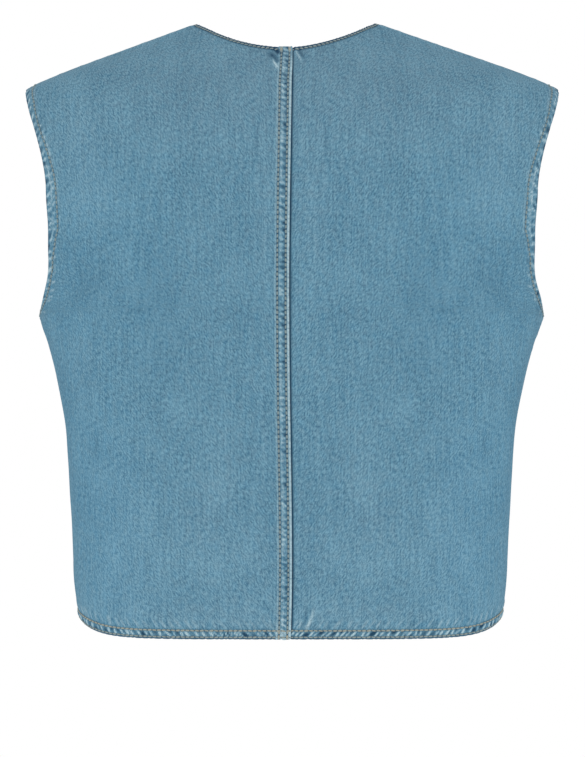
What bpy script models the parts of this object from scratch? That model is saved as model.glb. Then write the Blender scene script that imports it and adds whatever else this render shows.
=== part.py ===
"""Cropped sleeveless denim gilet, in the hollow shape it has when worn, with no wearer.

Two backs and two fronts, each a wall of cloth with turned edges. Metres, +Z up. The front faces -Y
and +X is the wearer's left. The origin is on the centre plane, level with the neck points of the
shoulder seams and straight below the shoulder ridge.
"""
from collections import namedtuple
import math

import bmesh
import bpy
import numpy as np

MM = 0.001

# Driving sizes, in millimetres
CLOTH = 1.2
TURNED_EDGE = 2.4
EDGE_TURN = 8.0
SEAM_GAP = 0.55
FRONT_GAP = 1.5
NECK_HALF_WIDTH = 80.0
BACK_NECK_DEPTH = 30.5
FRONT_NECK_DEPTH = 90.0
NECK_ROUNDNESS = 2.2
UNDERARM_Z = -259.5
SHOULDER_TIP_Z = -57.8
BACK_ARMHOLE = 57.0
FRONT_ARMHOLE = 61.0
ARMHOLE_LOW_POWER = 0.4
ARMHOLE_HIGH_POWER = 0.55
BAND_WIDTH = 11.0
BAND_STEP = 1.5
BAND_RISE = 1.2
FOLD_FADE = 0.75

# Mesh density, with the strip beside a seam in millimetres
CURVE_SAMPLES = 361
COLUMNS_TO_NECK = 5
COLUMNS_TO_EDGE = 8
SEAM_STRIP = 2.0
NECK_SAMPLES = 161
BAND_COLUMNS = 3
EDGE_COLUMNS = 2

# Rings of the worn shape from the hem to the shoulder ridge, in millimetres. square is the power of
# the ring's rounded outline, drop the power that takes its height from centre_z to side_z, and
# rows_up the number of mesh rows to the next ring.
Ring = namedtuple("Ring", "name centre_z side_z half_width back_depth front_depth square drop rows_up")
RINGS = (
    Ring("hem", -539.5, -527.5, 186.6, 104.0, 107.0, 3.5, 10.0, 1),
    Ring("hem_top", -530.7, -519.0, 188.4, 104.0, 107.0, 3.4, 10.0, 2),
    Ring("hip", -498.0, -490.0, 191.6, 103.5, 108.0, 3.2, 8.0, 2),
    Ring("waist", -440.0, -437.0, 194.4, 103.5, 110.0, 3.0, 5.0, 3),
    Ring("rib", -375.0, -375.0, 198.0, 105.0, 114.0, 2.9, 2.0, 2),
    Ring("chest_low", -318.0, -318.0, 207.3, 107.5, 118.0, 2.7, 2.0, 2),
    Ring("chest", -284.0, -284.0, 217.4, 109.0, 119.0, 2.5, 2.0, 2),
    Ring("underarm", -257.5, UNDERARM_Z, 225.0, 109.5, 118.5, 2.4, 2.0, 1),
    Ring("scye_turn", -253.0, -255.0, 226.0, 109.5, 118.2, 2.38, 2.0, 2),
    Ring("scye_low", -226.0, -229.0, 230.8, 109.0, 116.0, 2.3, 2.0, 2),
    Ring("scye_hollow", -188.0, -190.0, 236.0, 107.0, 111.0, 2.3, 2.0, 2),
    Ring("scye_mid", -150.0, -156.0, 241.0, 103.0, 104.0, 2.3, 2.0, 2),
    Ring("blade", -112.0, -118.0, 240.5, 97.0, 94.0, 2.4, 1.8, 2),
    Ring("tip_low", -74.0, -90.0, 238.5, 87.0, 80.0, 2.7, 1.5, 2),
    Ring("neck_base", -36.0, -73.0, 238.0, 66.0, 60.0, 3.1, 1.2, 2),
    Ring("yoke", -4.0, -65.0, 237.7, 41.0, 38.0, 4.0, 1.05, 2),
    Ring("ridge_round", 23.0, -60.0, 237.5, 14.5, 14.0, 8.0, 1.0, 1),
    Ring("ridge_seam", 29.6, -57.9, 237.5, 4.0, 4.0, 12.0, 1.0, 1),
    Ring("ridge", 29.8, SHOULDER_TIP_Z, 237.5, 0.0, 0.0, 12.0, 1.0, 0),
)
RING_NAMES = [ring.name for ring in RINGS]
RING_SIZES = np.array([ring[1:-1] for ring in RINGS])
DEPTH_COLUMNS = [3, 4]
RIDGE = len(RINGS) - 1
HEM_TOP = RING_NAMES.index("hem_top")
UNDERARM = RING_NAMES.index("underarm")
RIDGE_ROUND = RING_NAMES.index("ridge_round")
NECK_START = RING_NAMES.index("scye_hollow")

# Largest folds of a back and a front, in millimetres. height is outward, so a trough is negative.
Fold = namedtuple("Fold", "name start_x start_z end_x end_z half_width height")
BACK_FOLDS = (
    Fold("underarm_trough", 232.0, -266.0, 150.0, -214.0, 11.0, -5.0),
    Fold("blade_trough", 100.0, -120.0, 98.0, -318.0, 20.0, -2.4),
    Fold("side_ridge", 158.0, -366.0, 126.0, -470.0, 8.0, 1.8),
)
FRONT_FOLDS = (
    Fold("underarm_trough", 230.0, -268.0, 146.0, -206.0, 12.0, -5.0),
    Fold("chest_trough", 112.0, -150.0, 118.0, -300.0, 20.0, -2.0),
    Fold("side_ridge", 150.0, -392.0, 128.0, -486.0, 9.0, 1.6),
)

# One row per panel: side is +1 on the wearer's left, facing is +1 on the back, centre_gap is the
# space to the other half, band_rise the step of the centre seam's pressed band, and centre_turned
# says that the centre edge is folded cloth.
Panel = namedtuple("Panel", "name side facing neck_depth armhole folds centre_gap band_rise centre_turned")
PANELS = (
    Panel("back_left", 1, 1, BACK_NECK_DEPTH, BACK_ARMHOLE, BACK_FOLDS, SEAM_GAP, BAND_RISE, True),
    Panel("back_right", -1, 1, BACK_NECK_DEPTH, BACK_ARMHOLE, BACK_FOLDS, SEAM_GAP, 0.0, False),
    Panel("front_left", 1, -1, FRONT_NECK_DEPTH, FRONT_ARMHOLE, FRONT_FOLDS, FRONT_GAP, 0.0, True),
    Panel("front_right", -1, -1, FRONT_NECK_DEPTH, FRONT_ARMHOLE, FRONT_FOLDS, FRONT_GAP, 0.0, True),
)

# Light washed indigo denim
DENIM_COLOUR = (0.127, 0.270, 0.371, 1.0)
DENIM_ROUGHNESS = 0.92


def ring_slopes(table, gaps):
    """Slope of every size at every ring, flat where a size turns, and level over the shoulder ridge."""
    past_ridge = table[-2].copy()
    past_ridge[DEPTH_COLUMNS] *= -1
    padded = np.vstack([2 * table[0] - table[1], table, past_ridge])
    spans = np.concatenate([gaps[:1], gaps, gaps[-1:]])[:, None]
    rates = np.diff(padded, axis=0) / spans
    before = 2 * spans[1:] + spans[:-1]
    after = spans[1:] + 2 * spans[:-1]
    agree = rates[:-1] * rates[1:] > 0
    safe_before = np.where(agree, rates[:-1], 1.0)
    safe_after = np.where(agree, rates[1:], 1.0)
    return np.where(agree, (before + after) / (before / safe_before + after / safe_after), 0.0)


RING_GAPS = np.hypot(np.diff(RING_SIZES[:, 0]), np.diff(RING_SIZES[:, DEPTH_COLUMNS[0]]))
RING_SLOPES = ring_slopes(RING_SIZES, RING_GAPS)


def ring_at(level):
    """Ring sizes at a level, which counts rings up from the hem."""
    low = min(int(level), RIDGE - 1)
    part = level - low
    start_share = 2 * part**3 - 3 * part**2 + 1
    start_slope = (part**3 - 2 * part**2 + part) * RING_GAPS[low]
    end_slope = (part**3 - part**2) * RING_GAPS[low]
    sizes = start_share * RING_SIZES[low] + (1 - start_share) * RING_SIZES[low + 1]
    return sizes + start_slope * RING_SLOPES[low] + end_slope * RING_SLOPES[low + 1]


def armhole_reach(height, panel):
    """How far the armhole's edge lies from the shoulder plane at a height: round below, pointed above."""
    rise = np.clip((height - UNDERARM_Z) / (SHOULDER_TIP_Z - UNDERARM_Z), 0.0, 1.0)
    widest = ARMHOLE_LOW_POWER / (ARMHOLE_LOW_POWER + ARMHOLE_HIGH_POWER)
    full = widest**ARMHOLE_LOW_POWER * (1 - widest) ** ARMHOLE_HIGH_POWER
    return panel.armhole * rise**ARMHOLE_LOW_POWER * (1 - rise) ** ARMHOLE_HIGH_POWER / full


def section(level, panel):
    """A panel's curve round the body at a level, centre to side edge: x, depth, z and length so far."""
    centre_z, side_z, half_width, back_depth, front_depth, square, drop = ring_at(level)
    depth = back_depth if panel.facing > 0 else front_depth
    angle = np.linspace(0.0, math.pi / 2, CURVE_SAMPLES)
    across = np.sin(angle) ** (2 / square)
    inward = np.clip(np.cos(angle), 0.0, 1.0) ** (2 / square)
    inward[-1] = 0.0
    height = centre_z + (side_z - centre_z) * across**drop
    points = np.column_stack([half_width * across, depth * inward, height])
    spare = points[:, 1] - armhole_reach(height, panel)
    cut_away = np.flatnonzero(spare < 0)
    if cut_away.size:
        last = cut_away[0]
        share = spare[last - 1] / (spare[last - 1] - spare[last])
        points[last] = points[last - 1] + share * (points[last] - points[last - 1])
        points = points[:last + 1]
    steps = np.linalg.norm(np.diff(points, axis=0), axis=1)
    return points, np.concatenate([[0.0], np.cumsum(steps)])


def stations(length, panel):
    """Distances of the mesh columns along a section, crowded where the neckline is steepest."""
    neck = length * NECK_HALF_WIDTH / RINGS[RIDGE].half_width
    return np.concatenate([
        [panel.centre_gap / 2, BAND_WIDTH, BAND_WIDTH + BAND_STEP],
        neck * np.sin(np.linspace(0.0, math.pi / 2, COLUMNS_TO_NECK + 1)[1:]),
        np.linspace(neck, length - EDGE_TURN, COLUMNS_TO_EDGE + 1)[1:],
        [length - SEAM_STRIP, length],
    ])


NECK_COLUMN = BAND_COLUMNS + COLUMNS_TO_NECK - 1


def fold_offset(x, z, folds):
    """Outward move from every fold: a soft ridge or trough along a line, faded out at its ends."""
    offset = np.zeros_like(x)
    for fold in folds:
        run_x = fold.end_x - fold.start_x
        run_z = fold.end_z - fold.start_z
        length = math.hypot(run_x, run_z)
        along = ((x - fold.start_x) * run_x + (z - fold.start_z) * run_z) / length**2
        beside = ((x - fold.start_x) * run_z - (z - fold.start_z) * run_x) / length
        fade = np.sin(math.pi * np.clip(along, 0.0, 1.0)) ** FOLD_FADE
        offset += fold.height * fade * np.exp(-((beside / fold.half_width) ** 2))
    return offset


def row_points(level, panel):
    """Points of a panel at a level, one per mesh column, in millimetres from its centre line."""
    points, arc = section(level, panel)
    places = stations(arc[-1], panel)
    x = np.interp(places, arc, points[:, 0])
    depth = np.interp(places, arc, points[:, 1])
    z = np.interp(places, arc, points[:, 2])
    out_x = np.interp(places, arc, -np.gradient(points[:, 1], arc))
    out_depth = np.interp(places, arc, np.gradient(points[:, 0], arc))
    band = np.clip((BAND_WIDTH + BAND_STEP - places) / BAND_STEP, 0.0, 1.0)
    move = fold_offset(x, z, panel.folds) + panel.band_rise * band
    return np.column_stack([x + move * out_x, depth + move * out_depth, z])


def neck_height(x, panel):
    """Height of the neckline at a distance from the centre plane."""
    return panel.neck_depth * (np.clip(x / NECK_HALF_WIDTH, 0.0, 1.0) ** NECK_ROUNDNESS - 1)


def mesh_levels():
    """Levels of the mesh rows, as many between two rings as the lower ring asks for."""
    levels = []
    for index, ring in enumerate(RINGS):
        levels += [index + step / ring.rows_up for step in range(ring.rows_up)]
    return np.array(levels + [RIDGE])


def panel_levels(panel):
    """Levels of a panel's mesh points, rows by columns. Columns inside the neck end on the neckline,
    and their rows above the chest share out the length that is left as the neck point's column does.
    """
    levels = np.repeat(mesh_levels()[:, None], len(stations(1.0, panel)), axis=1)
    upper = levels[:, NECK_COLUMN] > NECK_START
    samples = np.linspace(NECK_START, RIDGE, NECK_SAMPLES)
    rows = np.array([row_points(level, panel) for level in samples])
    steps = np.linalg.norm(np.diff(rows, axis=0), axis=2)
    lengths = np.vstack([np.zeros(rows.shape[1]), np.cumsum(steps, axis=0)])
    neck_run = lengths[:, NECK_COLUMN]
    shares = np.interp(levels[upper, NECK_COLUMN], samples, neck_run) / neck_run[-1]
    for column in range(NECK_COLUMN):
        above_neckline = rows[:, column, 2] - neck_height(rows[:, column, 0], panel)
        neck_length = np.interp(0.0, above_neckline, lengths[:, column])
        levels[upper, column] = np.interp(shares * neck_length, lengths[:, column], samples)
    return levels


def panel_grid(panel):
    """Points of a panel, rows by columns, in millimetres."""
    levels = panel_levels(panel)
    points = [[row_points(level, panel)[column] for column, level in enumerate(row)] for row in levels]
    return np.array(points)


def turned_weight(panel, row, column, row_count, column_count):
    """1 where the cloth is turned in double at an edge, else 0."""
    level = mesh_levels()[row]
    at_hem = level <= HEM_TOP
    at_armhole = UNDERARM < level < RIDGE_ROUND and column >= column_count - EDGE_COLUMNS
    at_neck = row == row_count - 1 and column < NECK_COLUMN
    at_centre = panel.centre_turned and column < EDGE_COLUMNS
    return float(at_hem or at_armhole or at_neck or at_centre)


def denim_material(name):
    """The cloth's finish for one panel."""
    material = bpy.data.materials.new("denim_" + name)
    material.use_nodes = True
    shader = material.node_tree.nodes["Principled BSDF"]
    shader.inputs["Base Color"].default_value = DENIM_COLOUR
    shader.inputs["Roughness"].default_value = DENIM_ROUGHNESS
    shader.inputs["Metallic"].default_value = 0.0
    material.diffuse_color = DENIM_COLOUR
    return material


def build_panel(panel, collection):
    """A panel: a grid laid on its points, thickened inwards, with thicker turned edges."""
    grid = panel_grid(panel)
    row_count, column_count, _axes = grid.shape
    body = bmesh.new()
    bmesh.ops.create_grid(body, x_segments=column_count - 1, y_segments=row_count - 1, size=1.0)
    body.verts.index_update()
    weights = {}
    for vertex in body.verts:
        column = round((vertex.co.x + 1) / 2 * (column_count - 1))
        row = round((vertex.co.y + 1) / 2 * (row_count - 1))
        weights[vertex.index] = turned_weight(panel, row, column, row_count, column_count)
        x, depth, z = grid[row, column]
        vertex.co = (panel.side * x * MM, panel.facing * (depth + SEAM_GAP / 2) * MM, z * MM)
    if panel.side * panel.facing > 0:
        bmesh.ops.reverse_faces(body, faces=body.faces)
    mesh = bpy.data.meshes.new(panel.name)
    body.to_mesh(mesh)
    body.free()
    mesh.shade_smooth()
    mesh.materials.append(denim_material(panel.name))
    piece = bpy.data.objects.new(panel.name, mesh)
    collection.objects.link(piece)
    edges = piece.vertex_groups.new(name="turned_edge")
    for index, weight in weights.items():
        edges.add([index], weight, "REPLACE")
    wall = piece.modifiers.new("cloth_wall", "SOLIDIFY")
    wall.thickness = TURNED_EDGE * MM
    wall.offset = -1.0
    wall.use_even_offset = True
    wall.vertex_group = edges.name
    wall.thickness_vertex_group = CLOTH / TURNED_EDGE


def main():
    """Clear the scene and build the gilet's panels."""
    for stray in list(bpy.data.objects):
        bpy.data.objects.remove(stray)
    gilet = bpy.data.collections.new("denim_gilet")
    bpy.context.scene.collection.children.link(gilet)
    for panel in PANELS:
        build_panel(panel, gilet)


main()
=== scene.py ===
"""Looks of the cropped denim gilet, worn and hollow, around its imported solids.

The four panels are rebuilt as fine shells of washed denim on the same worn form, with their creases,
puckered edges and seams, and sewn with tan thread. Lengths are millimetres until a point goes into a
mesh, which is in metres. +Z is up, the front faces -Y and +X is the wearer's left.
"""

import logging
import math
from dataclasses import astuple, dataclass, field
from enum import Enum

import bpy
import numpy as np
from bpy.types import ID, Material, Node, NodeSocket, NodeTree, Object
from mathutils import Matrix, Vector, noise
from mathutils.kdtree import KDTree


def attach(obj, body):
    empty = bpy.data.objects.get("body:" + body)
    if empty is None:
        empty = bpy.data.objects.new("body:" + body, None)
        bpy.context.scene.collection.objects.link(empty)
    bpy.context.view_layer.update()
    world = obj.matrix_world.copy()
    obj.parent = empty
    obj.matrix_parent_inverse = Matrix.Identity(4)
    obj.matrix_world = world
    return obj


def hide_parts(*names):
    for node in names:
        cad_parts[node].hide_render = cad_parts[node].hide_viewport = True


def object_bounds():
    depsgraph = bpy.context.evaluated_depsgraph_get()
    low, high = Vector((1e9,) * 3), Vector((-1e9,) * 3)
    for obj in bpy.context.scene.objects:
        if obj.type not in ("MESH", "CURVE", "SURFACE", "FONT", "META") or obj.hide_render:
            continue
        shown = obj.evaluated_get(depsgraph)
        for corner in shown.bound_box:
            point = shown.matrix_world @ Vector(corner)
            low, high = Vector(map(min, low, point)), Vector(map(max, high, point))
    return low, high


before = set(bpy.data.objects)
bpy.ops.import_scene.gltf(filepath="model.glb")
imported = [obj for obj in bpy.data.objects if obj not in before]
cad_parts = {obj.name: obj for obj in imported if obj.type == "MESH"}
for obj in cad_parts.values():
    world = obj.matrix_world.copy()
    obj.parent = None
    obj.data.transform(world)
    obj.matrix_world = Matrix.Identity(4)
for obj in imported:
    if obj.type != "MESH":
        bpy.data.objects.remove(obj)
CAD_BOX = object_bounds()

LOG = logging.getLogger("gilet")
MM = 0.001
BODY = "root"
# Distance of points that lie too far from a border to be changed by it
FAR = 1000.0
# Wear and painted shading run from -1, unworn cloth and painted shade, to 1, worn pale cloth and painted
# light, and a little past both where marks add up
WASH_AND_SHADING_LIMIT = 1.6


class Half(Enum):
    """Half of the gilet, with the sign of its X."""

    LEFT = 1
    RIGHT = -1


class Facing(Enum):
    """Back or front of the gilet, with the sign of its Y."""

    BACK = 1
    FRONT = -1


class Border(Enum):
    """Border of a panel: whether its mesh lines run up the cloth, and whether they end there."""

    HEM = ("hem", True, False)
    NECK = ("neck", True, True)
    SHOULDER = ("shoulder", True, True)
    CENTRE = ("centre", False, False)
    SIDE = ("side", False, True)
    ARMHOLE = ("armhole", False, True)


def ease(value: np.ndarray) -> np.ndarray:
    """Soft step from 0 to 1 as the value goes from 0 to 1."""
    part = np.clip(value, 0.0, 1.0)
    return part * part * (3.0 - 2.0 * part)


def mound(value: np.ndarray, centre: float, half_width: float) -> np.ndarray:
    """Bell of height 1 around a centre."""
    return np.exp(-(((value - centre) / half_width) ** 2))


def line_runs(line: np.ndarray) -> np.ndarray:
    """Distance along a line to each of its points."""
    return np.concatenate([[0.0], np.cumsum(np.linalg.norm(np.diff(line, axis=0), axis=1))])


def linear(hex_colour: str) -> tuple[float, float, float, float]:
    """Linear colour of an sRGB hex value.

    Args:
        hex_colour: Six hex digits after a number sign.

    Returns:
        Red, green, blue and alpha, linear.
    """
    shares = [int(hex_colour[place:place + 2], 16) / 255 for place in (1, 3, 5)]
    red, green, blue = [s / 12.92 if s <= 0.04045 else ((s + 0.055) / 1.055) ** 2.4 for s in shares]
    return red, green, blue, 1.0


def add_node(tree: NodeTree, kind: str, inputs: dict | None = None, **settings: object) -> Node:
    """Add a node with its settings, and fill or link its inputs.

    Args:
        tree: Tree that the node goes into.
        kind: Blender's name of the node type.
        inputs: Value, or another node's output, for an input's name or number.
        **settings: The node's own properties.

    Returns:
        The new node.
    """
    node = tree.nodes.new(kind)
    for name, value in settings.items():
        setattr(node, name, value)
    for key, value in (inputs or {}).items():
        if isinstance(value, NodeSocket):
            tree.links.new(value, node.inputs[key])
        else:
            node.inputs[key].default_value = value
    return node


def maths(
    tree: NodeTree, operation: str, *values: float | NodeSocket, **settings: object
) -> NodeSocket:
    """Result of arithmetic on values.

    Args:
        tree: Tree that the node goes into.
        operation: Blender's name of the operation.
        *values: Numbers or other nodes' outputs, in order.
        **settings: The node's other properties.

    Returns:
        The result.
    """
    inputs = dict(enumerate(values))
    return add_node(tree, "ShaderNodeMath", inputs, operation=operation, **settings).outputs[0]


def ranged(
    tree: NodeTree, value: NodeSocket, start: float, end: float, low: float = 0.0, high: float = 1.0
) -> NodeSocket:
    """Value taken from one range to another, and held at its ends.

    Args:
        tree: Tree that the node goes into.
        value: The value.
        start: Value that gives the low result.
        end: Value that gives the high result.
        low: The low result.
        high: The high result.

    Returns:
        The result.
    """
    return add_node(tree, "ShaderNodeMapRange", {0: value, 1: start, 2: end, 3: low, 4: high}).outputs[0]


def mixed(tree: NodeTree, share: NodeSocket, first: tuple | NodeSocket, second: str) -> NodeSocket:
    """Mix of two colours.

    Args:
        tree: Tree that the node goes into.
        share: Share of the second colour.
        first: First colour, linear.
        second: Second colour as an sRGB hex value.

    Returns:
        The mixed colour.
    """
    inputs = {0: share, 6: first, 7: linear(second)}
    return add_node(tree, "ShaderNodeMix", inputs, data_type="RGBA").outputs[2]


def mark(tree: NodeTree, name: str) -> NodeSocket:
    """Value that a piece's mesh holds under a name."""
    return add_node(tree, "ShaderNodeAttribute", attribute_name=name).outputs["Fac"]


def start_material(name: str) -> tuple[Material, NodeTree, Node]:
    """Make a material.

    Args:
        name: Name of the real material.

    Returns:
        The material, its tree and its main shader.
    """
    material = bpy.data.materials.new(name)
    material.use_nodes = True
    return material, material.node_tree, material.node_tree.nodes["Principled BSDF"]


def add_object(name: str, data: ID) -> Object:
    """Put data into the scene as an object, at the origin.

    Args:
        name: Name of the object.
        data: Its mesh, lamp or camera.

    Returns:
        The object.
    """
    thing = bpy.data.objects.new(name, data)
    bpy.context.scene.collection.objects.link(thing)
    return thing


# Finishes


@dataclass(frozen=True)
class Flecks:
    """Flecks of yarn: their size in millimetres, their share of the grain and their lean from the warp."""

    width: float
    length: float
    share: float
    lean_degrees: float = 0.0

    def draw(self, tree: NodeTree, place: NodeSocket) -> NodeSocket:
        """Draw the flecks.

        Args:
            tree: The material's tree.
            place: Place on the cloth in millimetres.

        Returns:
            A value around one half.
        """
        lean = math.radians(self.lean_degrees)
        turned = add_node(
            tree, "ShaderNodeVectorRotate", {"Vector": place, "Angle": lean}, rotation_type="Z_AXIS"
        ).outputs[0]
        scale = (1 / self.width, 1 / self.length, 1.0)
        scaled = add_node(tree, "ShaderNodeVectorMath", {0: turned, 1: scale}, operation="MULTIPLY")
        inputs = {"Vector": scaled.outputs[0], "Scale": 1.0, "Detail": 1.0, "Roughness": 0.5}
        return add_node(tree, "ShaderNodeTexNoise", inputs, noise_dimensions="2D").outputs[0]


@dataclass(frozen=True)
class DenimFinish:
    """Washed indigo denim: a matt twill, mottled by washing, pale on worn ridges, dark in unworn hollows,
    with painted light and shade in places, greyer on the shoulders and bluer at the sides, painted to offset
    the grey sheen of grazing light. Twill and warp are drawn a few threads wide, because single threads are
    finer than a pixel.
    """

    name: str = "washed_indigo_denim"
    grain_dark: str = "#46728B"
    grain_light: str = "#7AA6BB"
    # The pale colour below is also painted light, and the dark one after it painted shade
    worn: str = "#B4CFD8"
    unworn_and_painted_shade: str = "#1F425C"
    inside: str = "#A3B4BC"
    greyed: str = "#868F95"
    bluer: str = "#3F97C4"
    twill: Flecks = Flecks(1.2, 3.4, 1.8, 30.0)
    warp: Flecks = Flecks(0.9, 4.0, 0.1)
    speck: Flecks = Flecks(1.05, 1.05, 1.25)
    slub: Flecks = Flecks(1.4, 45.0, 0.65)
    cloud: Flecks = Flecks(26.0, 41.6, 0.35)
    hue: Flecks = Flecks(5.0, 7.5, 0.28)
    contrast: float = 0.54
    wear_and_shading_range: tuple[float, float] = (0.6, 1.3)
    wear_and_shading_limit: float = 0.95
    inside_share: float = 0.6
    bump_height: float = 0.25
    bump_strength: float = 0.6
    roughness: float = 0.92
    specular: float = 0.06
    sheen: float = 0.03
    sheen_roughness: float = 0.5

    def make(self) -> Material:
        """Build the material on the cloth's own map, whose unit is a metre of cloth.

        Returns:
            The material.
        """
        material, tree, shader = start_material(self.name)
        cloth = add_node(tree, "ShaderNodeUVMap", uv_map="cloth").outputs[0]
        place = add_node(
            tree, "ShaderNodeVectorMath", {0: cloth, "Scale": 1 / MM}, operation="SCALE"
        ).outputs[0]
        yarns = (self.twill, self.warp, self.speck, self.slub, self.cloud)
        middle = sum(yarn.share for yarn in yarns) / 2
        low, high = middle - self.contrast, middle + self.contrast
        grain = 0.0
        for yarn in yarns:
            grain = maths(tree, "MULTIPLY_ADD", yarn.draw(tree, place), yarn.share, grain)
        colour = mixed(tree, ranged(tree, grain, low, high), linear(self.grain_dark), self.grain_light)
        # Some places are greyer and others bluer; the blue at the sides is painted to offset the grey sheen
        # of grazing light
        mottle = self.hue.draw(tree, place)
        tone = maths(tree, "MULTIPLY_ADD", mottle, self.hue.share, mark(tree, "tone"))
        still = self.hue.share / 2
        colour = mixed(tree, ranged(tree, tone, still, still + 1.0), colour, self.greyed)
        colour = mixed(tree, ranged(tree, tone, still, still - 1.0), colour, self.bluer)
        # Wear, painted light and painted shade are broken up by the yarn
        broken = ranged(tree, grain, low, high, *self.wear_and_shading_range)
        wash = maths(tree, "MULTIPLY", mark(tree, "wash"), broken)
        # Paler for worn cloth and painted light, darker for unworn cloth and painted shade
        colour = mixed(tree, ranged(tree, wash, 0.0, 1.0, 0.0, self.wear_and_shading_limit), colour, self.worn)
        colour = mixed(tree, ranged(tree, wash, 0.0, -1.0, 0.0, self.wear_and_shading_limit), colour, self.unworn_and_painted_shade)
        weft = maths(tree, "MULTIPLY", mark(tree, "inside"), self.inside_share)
        colour = mixed(tree, weft, colour, self.inside)
        relief = {"Strength": self.bump_strength, "Distance": self.bump_height * MM, "Height": grain}
        bump = add_node(tree, "ShaderNodeBump", relief).outputs[0]
        tree.links.new(colour, shader.inputs["Base Color"])
        tree.links.new(bump, shader.inputs["Normal"])
        shader.inputs["Roughness"].default_value = self.roughness
        shader.inputs["Specular IOR Level"].default_value = self.specular
        shader.inputs["Sheen Weight"].default_value = self.sheen
        shader.inputs["Sheen Roughness"].default_value = self.sheen_roughness
        return material


@dataclass(frozen=True)
class ThreadFinish:
    """Heavy spun thread: tan, greyed and blued by washing, and dark where it dives into the cloth, painted
    shade for the needle holes.
    """

    name: str = "tan_topstitch_thread"
    washed: str = "#80959A"
    fresh: str = "#B2AF9C"
    dived_shade: str = "#2E3F4C"
    ply: float = 0.7
    ply_detail: float = 2.0
    ply_share: float = 0.15
    dive_start: float = 0.4
    dive_end: float = 0.95
    roughness: float = 0.8
    specular: float = 0.25

    def make(self) -> Material:
        """Build the material.

        Returns:
            The material.
        """
        material, tree, shader = start_material(self.name)
        place = add_node(tree, "ShaderNodeTexCoord").outputs["Object"]
        inputs = {"Vector": place, "Scale": 1 / (self.ply * MM), "Detail": self.ply_detail}
        fibre = add_node(tree, "ShaderNodeTexNoise", inputs).outputs[0]
        uneven = maths(tree, "MULTIPLY_ADD", fibre, self.ply_share, mark(tree, "fresh"), use_clamp=True)
        colour = mixed(tree, uneven, linear(self.washed), self.fresh)
        # The stitch ends take painted shade where they dive into the needle holes
        ends = ranged(tree, mark(tree, "along"), self.dive_start, self.dive_end)
        tree.links.new(mixed(tree, ends, colour, self.dived_shade), shader.inputs["Base Color"])
        shader.inputs["Roughness"].default_value = self.roughness
        shader.inputs["Specular IOR Level"].default_value = self.specular
        return material


@dataclass(frozen=True)
class FloorFinish:
    """Matt white studio paint, with a faint roller texture."""

    name: str = "matt_white_paint"
    light: str = "#FBFBFB"
    shade: str = "#F3F3F3"
    roller: float = 60.0
    roughness: float = 0.9

    def make(self) -> Material:
        """Build the material.

        Returns:
            The material.
        """
        material, tree, shader = start_material(self.name)
        place = add_node(tree, "ShaderNodeTexCoord").outputs["Object"]
        inputs = {"Vector": place, "Scale": 1 / (self.roller * MM)}
        paint = add_node(tree, "ShaderNodeTexNoise", inputs).outputs[0]
        tree.links.new(mixed(tree, paint, linear(self.light), self.shade), shader.inputs["Base Color"])
        shader.inputs["Roughness"].default_value = self.roughness
        return material


# The worn form


@dataclass(frozen=True)
class Ring:
    """A ring of the worn form. square is the power of its rounded outline, and drop the power that
    takes its height from centre_z to side_z.
    """

    name: str
    centre_z: float
    side_z: float
    half_width: float
    back_depth: float
    front_depth: float
    square: float
    drop: float


RINGS = (
    Ring("hem", -539.7, -527.2, 186.0, 104.0, 107.0, 3.5, 11.2),
    Ring("hem_top", -530.9, -518.8, 187.8, 104.0, 107.0, 3.4, 11.2),
    Ring("hip", -498.0, -490.0, 191.6, 103.5, 108.0, 3.2, 8.0),
    Ring("waist", -440.0, -437.0, 194.4, 103.5, 110.0, 3.0, 5.0),
    Ring("rib", -375.0, -375.0, 198.0, 105.0, 114.0, 2.9, 2.0),
    Ring("chest_low", -318.0, -318.0, 208.0, 107.5, 118.0, 2.7, 2.0),
    Ring("chest", -284.0, -284.0, 216.6, 109.0, 119.0, 2.5, 2.0),
    Ring("underarm", -257.5, -259.5, 225.4, 109.5, 118.5, 2.4, 2.0),
    Ring("scye_turn", -253.0, -255.0, 226.0, 109.5, 118.2, 2.38, 2.0),
    Ring("scye_low", -226.0, -229.0, 230.8, 109.0, 116.0, 2.3, 2.0),
    Ring("scye_hollow", -188.0, -190.0, 236.0, 107.0, 111.0, 2.3, 2.0),
    Ring("scye_mid", -150.0, -156.0, 241.0, 103.0, 104.0, 2.3, 2.0),
    Ring("blade", -112.0, -118.0, 240.5, 97.0, 94.0, 2.4, 1.8),
    Ring("tip_low", -74.0, -90.0, 238.4, 87.0, 80.0, 2.7, 1.5),
    Ring("neck_base", -36.0, -73.0, 238.4, 66.0, 60.0, 3.1, 1.2),
    Ring("yoke", -4.0, -65.0, 238.1, 41.0, 38.0, 4.0, 1.05),
    Ring("ridge_round", 23.0, -60.0, 237.9, 14.5, 14.0, 8.0, 1.0),
    Ring("ridge_seam", 29.6, -57.9, 237.9, 4.0, 4.0, 12.0, 1.0),
    Ring("ridge", 29.8, -57.8, 237.9, 0.0, 0.0, 12.0, 1.0),
)


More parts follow.
